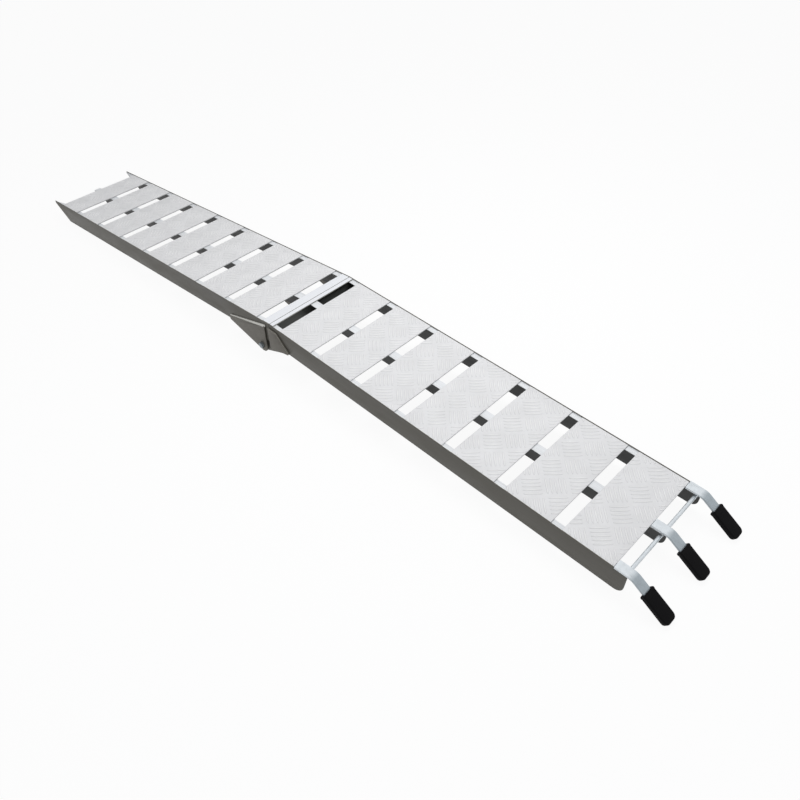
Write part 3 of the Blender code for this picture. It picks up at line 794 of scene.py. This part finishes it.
def hexagon():
    """A head's edge at each angle, the flat circle on it, and how far its corners fall away outside that.

    The edge is r cos 30 / cos of the angle from the nearest flat.
    """
    turn = np.linspace(0, 2 * math.pi, ROUND, endpoint=False)
    edge = HEX_RADIUS * math.cos(math.pi / 6) / np.cos(turn % (math.pi / 3) - math.pi / 6)
    face = np.full_like(edge, HEX_FACE * edge.min())
    return edge, face, (edge - face) * HEX_SLOPE


def bolt(word, section, centre):
    """A hexagon bolt whose shank ends in a thread, its radius a zigzag along the length."""
    name = f"pivot_bolt_{word}"
    low, high = section.reach(name)
    nut_low, nut_high = section.reach(f"pivot_nut_{word}")
    outward = -1 if nut_low[1] - low[1] > high[1] - nut_high[1] else 1
    top, tail = (low[1], high[1]) if outward < 0 else (high[1], low[1])
    seat = top - outward * HEAD_HEIGHT
    edge, face, fall = hexagon()
    flat = np.full_like(edge, top)
    level = np.stack((np.full_like(edge, seat), top - outward * fall, flat, flat))
    head = spun(np.stack((edge, edge, face, HEAD_RING * face)), level, centre, tone=HEX_TONE)
    inside = np.arange(0, THREAD_LENGTH, THREAD_PITCH / 4)
    thread = BOLT_RADIUS - THREAD_DEPTH * np.abs(((inside / THREAD_PITCH) % 1) * 2 - 1)
    radii = np.concatenate(([THREAD_POINT * BOLT_RADIUS], thread[2:], [BOLT_RADIUS, BOLT_RADIUS]))
    levels = np.concatenate(([0], inside[2:], [inside[-1] + THREAD_RUNOUT, abs(tail - seat)]))
    shank = spun(radii, tail + outward * levels, centre, around=24)
    make(f"{name}_forged", section, [head, shank], ZINC, "zinc_steel", name)


def nut(word, section, centre):
    """A hexagon nut, its corners falling away on both faces."""
    low, high = section.reach(f"pivot_nut_{word}")
    edge, face, fall = hexagon()
    level = np.stack((np.full_like(edge, low[1]), low[1] + fall, high[1] - fall, np.full_like(edge, high[1])))
    ring = spun(np.stack((face, edge, edge, face)), level, centre, tone=HEX_TONE)
    make(f"pivot_nut_{word}_forged", section, [ring], ZINC, "zinc_steel", f"pivot_nut_{word}")


def spacer(word, section, centre):
    """A thrust washer between the plates, its rims rounded."""
    low, high = section.reach(f"pivot_spacer_{word}")
    outline = arc(centre, SPACER_RADIUS, 0, 2 * math.pi, steps=40)[:-1]
    disc = slab(outline, low[1], high[1], SPACER_EDGE)
    make(f"pivot_spacer_{word}_turned", section, [disc], ZINC, "zinc_steel", f"pivot_spacer_{word}")


def hinges():
    """The plates, bolts, nuts and spacers of the three hinges; only the side hinges have a heel plate."""
    upper_pivot = pivot_in_upper()
    lower = eye_outline(PIVOT, LOWER_PLATE_TOP, LOWER_PLATE_CORNER, 1, LOWER_PLATE_LAP)
    tongue = eye_outline(upper_pivot, TONGUE_ROOT, TONGUE_CORNER, 1, TONGUE_LAP)
    heel = eased(np.array(HEEL_CORNERS), HEEL_EASE)
    rims = np.array((0, 1, 1, 1, 1, 1, 1, 0))[:, None]
    # The heel plates' edges take a brighter tone, as painted light where they lie in shadow
    plates = ((LOWER, "lower_hinge_plate", lower, 0.0), (UPPER, "upper_hinge_tongue", tongue, 0.0),
              (UPPER, "upper_hinge_heel", heel, HEEL_EDGE_LIGHT_TONE))
    for word in ("right", "centre", "left"):
        for section, name, outline, edge_light in plates:
            node = f"{name}_{word}"
            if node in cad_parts:
                low, high = section.reach(node)
                plate = slab(outline, low[1], high[1], PLATE_EDGE, tone=edge_light * rims)
                make(f"{node}_cut", section, [plate], HINGE, "hinge_plate", node)
        bolt(word, LOWER, PIVOT)
        nut(word, LOWER, PIVOT)
        spacer(word, LOWER, PIVOT)


# Fingers


def finger_way(along, off):
    """A point on the bent part of a finger: a distance along it past the bend, and one off its mid line."""
    radius = STRAP_BEND_RADIUS + STRAP_THICKNESS / 2 + off
    sine, cosine = math.sin(STRAP_BEND), math.cos(STRAP_BEND)
    return (BEND_CENTRE[0] + radius * sine + along * cosine,
            BEND_CENTRE[1] + radius * cosine - along * sine)


def strap_outline(start):
    """A strap from the side: flat up to the rails' ends, then round the bend and straight on to its tip."""
    upright = math.pi / 2
    bent = upright - STRAP_BEND
    top = arc(BEND_CENTRE, STRAP_BEND_RADIUS + STRAP_THICKNESS, upright, bent, steps=16)
    low = arc(BEND_CENTRE, STRAP_BEND_RADIUS, bent, upright, steps=16)
    run = STRAP_BARE_LENGTH + STRAP_GRIP
    tip = [finger_way(run, off) for off in (STRAP_THICKNESS / 2, -STRAP_THICKNESS / 2)]
    back = np.array(((start, STRAP_UNDER), (start, STRAP_UNDER + STRAP_THICKNESS)))
    return np.concatenate((back, top, tip, low))


def cap_rings(y):
    """Rounded rectangles carried along a finger's end.

    The half width is the plan's half width, narrowed round the far corners by r - (r^2 - d^2)^0.5, the half
    thickness is rounded the same way at the very end, and the mouth has a rim and turns in round the strap.
    """
    turn = np.linspace(0, math.pi / 2, 9)
    edge_turn = np.linspace(0, math.pi / 2, 6)
    s = np.unique(np.concatenate((
        [MOUTH_EDGE, 2 * MOUTH_EDGE, CAP_RIM_LENGTH, CAP_RIM_LENGTH + 2 * MOUTH_EDGE],
        np.linspace(*CAP_MIDDLE, 5),
        CAP_LENGTH - CAP_CORNER + CAP_CORNER * np.sin(turn),
        CAP_LENGTH - CAP_EDGE + CAP_EDGE * np.sin(edge_turn))))
    past = np.clip(s - CAP_LENGTH + CAP_CORNER, 0, CAP_CORNER)
    wide = CAP_WIDTH / 2 - CAP_CORNER + np.sqrt(CAP_CORNER ** 2 - past ** 2)
    past = np.clip(s - CAP_LENGTH + CAP_EDGE, 0, CAP_EDGE)
    thick = CAP_THICKNESS / 2 - CAP_EDGE + np.sqrt(CAP_EDGE ** 2 - past ** 2)
    proud = CAP_RIM * (s <= CAP_RIM_LENGTH) - MOUTH_SHRINK * (s < 2 * MOUTH_EDGE)
    pocket = np.array((CAP_WIDTH / 2 - POCKET_WALL, STRAP_THICKNESS / 2 + POCKET_GAP))
    mouth = np.array((CAP_WIDTH / 2 - MOUTH_EDGE, CAP_THICKNESS / 2 - MOUTH_EDGE))
    half = np.stack((wide + proud, thick + proud), axis=1)
    half = np.concatenate(([pocket, pocket, mouth], half))
    s = np.concatenate(([POCKET_DEPTH, 0, 0], s))
    corner = np.array(((-1, -1), (1, -1), (1, 1), (-1, 1)))
    rings = eased(corner * half[:, None], CAP_EDGE, steps=6)
    x, z = finger_way(STRAP_BARE_LENGTH + s[:, None], rings[..., 1])
    return np.stack((x, y + rings[..., 0], z), axis=-1)


def fingers():
    """The three straps with their rubber caps, and the tie rod through the rails."""
    for word in ("right", "centre", "left"):
        low, high = UPPER.reach(f"finger_strap_{word}")
        outline = strap_outline(low[0])
        # Painted shade: the strap's tone falls from bright to dull past the rails' ends, over its bend
        kept = np.clip((UPPER_END + STRAP_SHADE_RUN - outline[:, 0]) / STRAP_SHADE_RUN, 0, 1)
        bar = slab(outline, low[1], high[1], STRAP_EDGE, tone=kept)
        make(f"finger_flat_bar_{word}", UPPER, [bar], ZINC, "zinc_steel", f"finger_strap_{word}")
        cap = loft(cap_rings((low[1] + high[1]) / 2))
        make(f"finger_rubber_{word}", UPPER, [cap], RUBBER, "rubber", f"finger_cap_{word}")
    reach = HALF_WIDTH - ROD_INSET
    rod = spun((ROD_RADIUS - ROD_CHAMFER, ROD_RADIUS, ROD_RADIUS, ROD_RADIUS - ROD_CHAMFER),
               (-reach, ROD_CHAMFER - reach, reach - ROD_CHAMFER, reach),
               (UPPER_END - ROD_SETBACK, -ROD_DROP), around=32)
    make("drawn_tie_rod", UPPER, [rod], ZINC, "zinc_steel", "tie_rod")


# Welds


def deck_stitches(section, nodes):
    """Short beads under each tread, in the corner between its underside and a flange's free edge."""
    edges = (SIDE_FLANGE - HALF_WIDTH, -CENTRE_FLANGE / 2, CENTRE_FLANGE / 2, HALF_WIDTH - SIDE_FLANGE)
    sides = (1, -1, 1, -1)
    beads = []
    for node in nodes:
        low, high = section.reach(node)
        middle = (low[0] + high[0]) / 2
        half = min(STITCH_LENGTH / 2, (high[0] - low[0]) / 2 - STITCH_MARGIN)
        for edge, side in zip(edges, sides):
            y = edge + side * STITCH_OFFSET
            beads.append(bead([(x, y, -STITCH_DROP) for x in (middle - half, middle + half)], STITCH_RADIUS))
    return beads


def welds():
    """The stitches under both decks, and the beads along the tops of the side hinges' plates and tongues."""
    make("lower_deck_stitches", LOWER, deck_stitches(LOWER, treads("lower")), WELD, "rail_aluminium")
    make("upper_deck_stitches", UPPER, deck_stitches(UPPER, treads("upper")), WELD, "rail_aluminium")
    lower, upper = [], []
    for side in (-1, 1):
        y = side * (HALF_WIDTH + PLATE_BEAD_OUT)
        top = [(x, y, z + PLATE_BEAD_RISE) for x, z in (LOWER_PLATE_LAP, LOWER_PLATE_TOP)]
        lower.append(bead(top, PLATE_BEAD))
        y = side * (HALF_WIDTH - RAIL_WALL - TONGUE_BEAD_IN)
        upper.append(bead([(x, y, z) for x, z in (TONGUE_LAP, TONGUE_ROOT)], TONGUE_BEAD))
    make("lower_hinge_beads", LOWER, lower, WELD, "hinge_plate")
    make("upper_hinge_beads", UPPER, upper, WELD, "hinge_plate")


# Stage


def seen_white(tree):
    """1 for camera, glossy and transmission rays, 0 for the rest."""
    path = add(tree, "LightPath").outputs
    seen = path["Is Camera Ray"]
    for other in ("Is Glossy Ray", "Is Transmission Ray"):
        seen = add(tree, "Math", {0: seen, 1: path[other]}, operation="MAXIMUM").outputs[0]
    return seen


def stage():
    """Pale floor, a soft key above the upper section's far side, and a white surround."""
    mesh = bpy.data.meshes.new("floor")
    corners = rectangle(-FLOOR_REACH, FLOOR_REACH, -FLOOR_REACH, FLOOR_REACH).tolist()
    mesh.from_pydata([(x, y, 0.0) for x, y in corners], [], [(0, 1, 2, 3)])
    floor = bpy.data.objects.new("floor", mesh)
    bpy.context.scene.collection.objects.link(floor)
    made = bpy.data.materials.new("pale_floor")
    made.use_nodes = True
    tree = made.node_tree
    tree.nodes.clear()
    seen = seen_white(tree)
    pale = add(tree, "BsdfDiffuse", {"Color": colour("#E8E8E8")})
    glow = add(tree, "Emission", {"Color": (1, 1, 1, 1), "Strength": FLOOR_GLOW})
    shadowed = add(tree, "BsdfDiffuse", {"Color": (1 - FLOOR_GLOW,) * 3 + (1,)})
    white = add(tree, "AddShader", {0: glow.outputs[0], 1: shadowed.outputs[0]})
    mixed = add(tree, "MixShader", {0: seen, 1: pale.outputs[0], 2: white.outputs[0]})
    add(tree, "OutputMaterial", {"Surface": mixed.outputs[0]})
    mesh.materials.append(made)

    world = bpy.data.worlds.new("studio")
    bpy.context.scene.world = world
    world.use_nodes = True
    tree = world.node_tree
    tree.nodes.clear()
    seen = seen_white(tree)
    fill = add(tree, "Background", {"Color": colour("#F4F6FA"), "Strength": FILL})
    white = add(tree, "Background", {"Color": (1, 1, 1, 1), "Strength": 1.0})
    mixed = add(tree, "MixShader", {0: seen, 1: fill.outputs[0], 2: white.outputs[0]})
    add(tree, "OutputWorld", {"Surface": mixed.outputs[0]})

    lamp = bpy.data.lights.new("key", "AREA")
    lamp.shape = "DISK"
    lamp.size = KEY_SIZE
    lamp.energy = KEY
    key = bpy.data.objects.new("key", lamp)
    key.visible_glossy = False
    key.location = KEY_AT
    key.rotation_euler = (Vector(KEY_AT) - Vector(KEY_TOWARDS)).to_track_quat("Z", "Y").to_euler()
    bpy.context.scene.collection.objects.link(key)


def camera():
    """The photograph's own viewpoint, above the finger end and to the ramp's right."""
    lens = bpy.data.cameras.new("camera")
    lens.lens = CAMERA_LENS
    lens.sensor_width = SENSOR_WIDTH
    view = bpy.data.objects.new("camera", lens)
    view.location = CAMERA_AT
    view.rotation_euler = Euler([math.radians(turn) for turn in CAMERA_TURN])
    bpy.context.scene.collection.objects.link(view)
    bpy.context.scene.camera = view


camera()
stage()
bpy.context.scene.view_settings.view_transform = "Standard"
deck()
rails()
hinges()
fingers()
welds()
